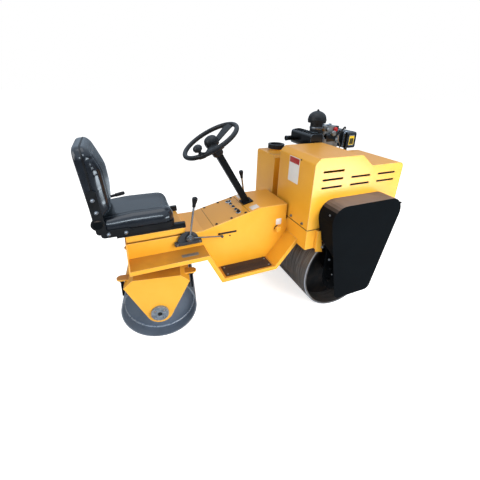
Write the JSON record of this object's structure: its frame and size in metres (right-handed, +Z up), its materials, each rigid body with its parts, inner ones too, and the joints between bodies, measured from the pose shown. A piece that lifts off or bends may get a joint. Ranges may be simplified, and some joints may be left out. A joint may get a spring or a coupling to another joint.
{
  "type": "road roller",
  "caption": "Compact ride-on road roller: wide front drum under the engine, narrow steered rear drum in a yoke below the seat, centre console with steering wheel.",
  "frame": {"origin": "on the ground, at the middle of the machine's bounding box", "axes": "+X forward, the way the driver faces; +Y to the driver's left; +Z up"},
  "size_m": [1.7948, 0.919, 1.232],
  "materials": {
    "paint": "gloss",
    "black_paint": "satin",
    "black_plastic": "satin",
    "rubber": "matte",
    "mat_rubber": "matte",
    "vinyl": "semi-gloss",
    "raw_steel": "dull rolled steel",
    "drum_steel": "satin silver-grey",
    "zinc": "zinc plated",
    "cast_alloy": "cast",
    "grey_paint": "satin",
    "red_plastic": "gloss"
  },
  "bodies": {
    "frame": {"axle_carrier_right": "black_paint", "axle_carrier_left": "black_paint", "rubber_buffers": "rubber", "drive_motor": "black_paint", "front_frame": "paint", "cover_bracket": "paint", "hood_shell": "paint", "hood_side_right": "paint", "hood_side_left": "paint", "belt_cover": "black_paint", "pulleys": "zinc", "drive_belts": "rubber", "water_tank": "paint", "tank_cap": "black_plastic", "engine_block": "cast_alloy", "engine_cylinder": "cast_alloy", "cylinder_head": "cast_alloy", "flywheel_housing": "black_paint", "fuel_tank": "black_paint", "fuel_cap": "red_plastic", "muffler": "black_paint", "air_cleaner": "black_plastic", "rear_frame": "paint", "console_panel_rear": "paint", "console_panel_middle": "paint", "console_panel_front": "paint", "switch_row": "black_plastic", "footwell_right": "paint", "footwell_left": "paint", "foot_mats": "mat_rubber", "side_knob": "paint", "seat_base": "paint", "seat_slides": "black_paint", "seat_pan": "black_plastic", "seat_brackets": "black_paint", "seat_back_shell": "black_plastic", "recline_lever": "black_paint", "seat_cushion": "vinyl", "seat_back_cushion": "vinyl", "steering_column": "black_paint", "lever_quadrant": "grey_paint", "travel_lever": "black_plastic", "throttle_lever": "black_plastic"},
    "front_drum": {"front_drum": "raw_steel"},
    "yoke": {"rear_yoke": "paint", "rear_axle": "zinc", "bearing_flanges": "zinc", "rear_scrapers": "rubber"},
    "rear_drum": {"rear_drum": "drum_steel"},
    "wheel": {"steering_wheel": "black_plastic"}
  },
  "joints": [
    {"name": "front_drum_roll", "type": "hinge", "parent": "frame", "child": "front_drum", "pos_m": [0.52741, 0.0005, 0.28], "axis": [0, 1, 0], "continuous": true},
    {"name": "steer", "type": "hinge", "parent": "frame", "child": "yoke", "pos_m": [-0.57659, 0.0005, 0.204], "axis": [0, 0, 1], "range_deg": [-19.9, 40.1]},
    {"name": "rear_drum_roll", "type": "hinge", "parent": "yoke", "child": "rear_drum", "pos_m": [-0.57659, 0.0005, 0.204], "axis": [0.1754, 0.9845, 0], "continuous": true},
    {"name": "wheel_turn", "type": "hinge", "parent": "frame", "child": "wheel", "pos_m": [-0.24359, 0.0005, 1.094], "axis": [-0.506, 0, 0.8625], "range_deg": [-610, 310]}
  ],
  "couplings": [
    {"joint": "wheel_turn", "follows": "steer", "ratio": -15}
  ]
}
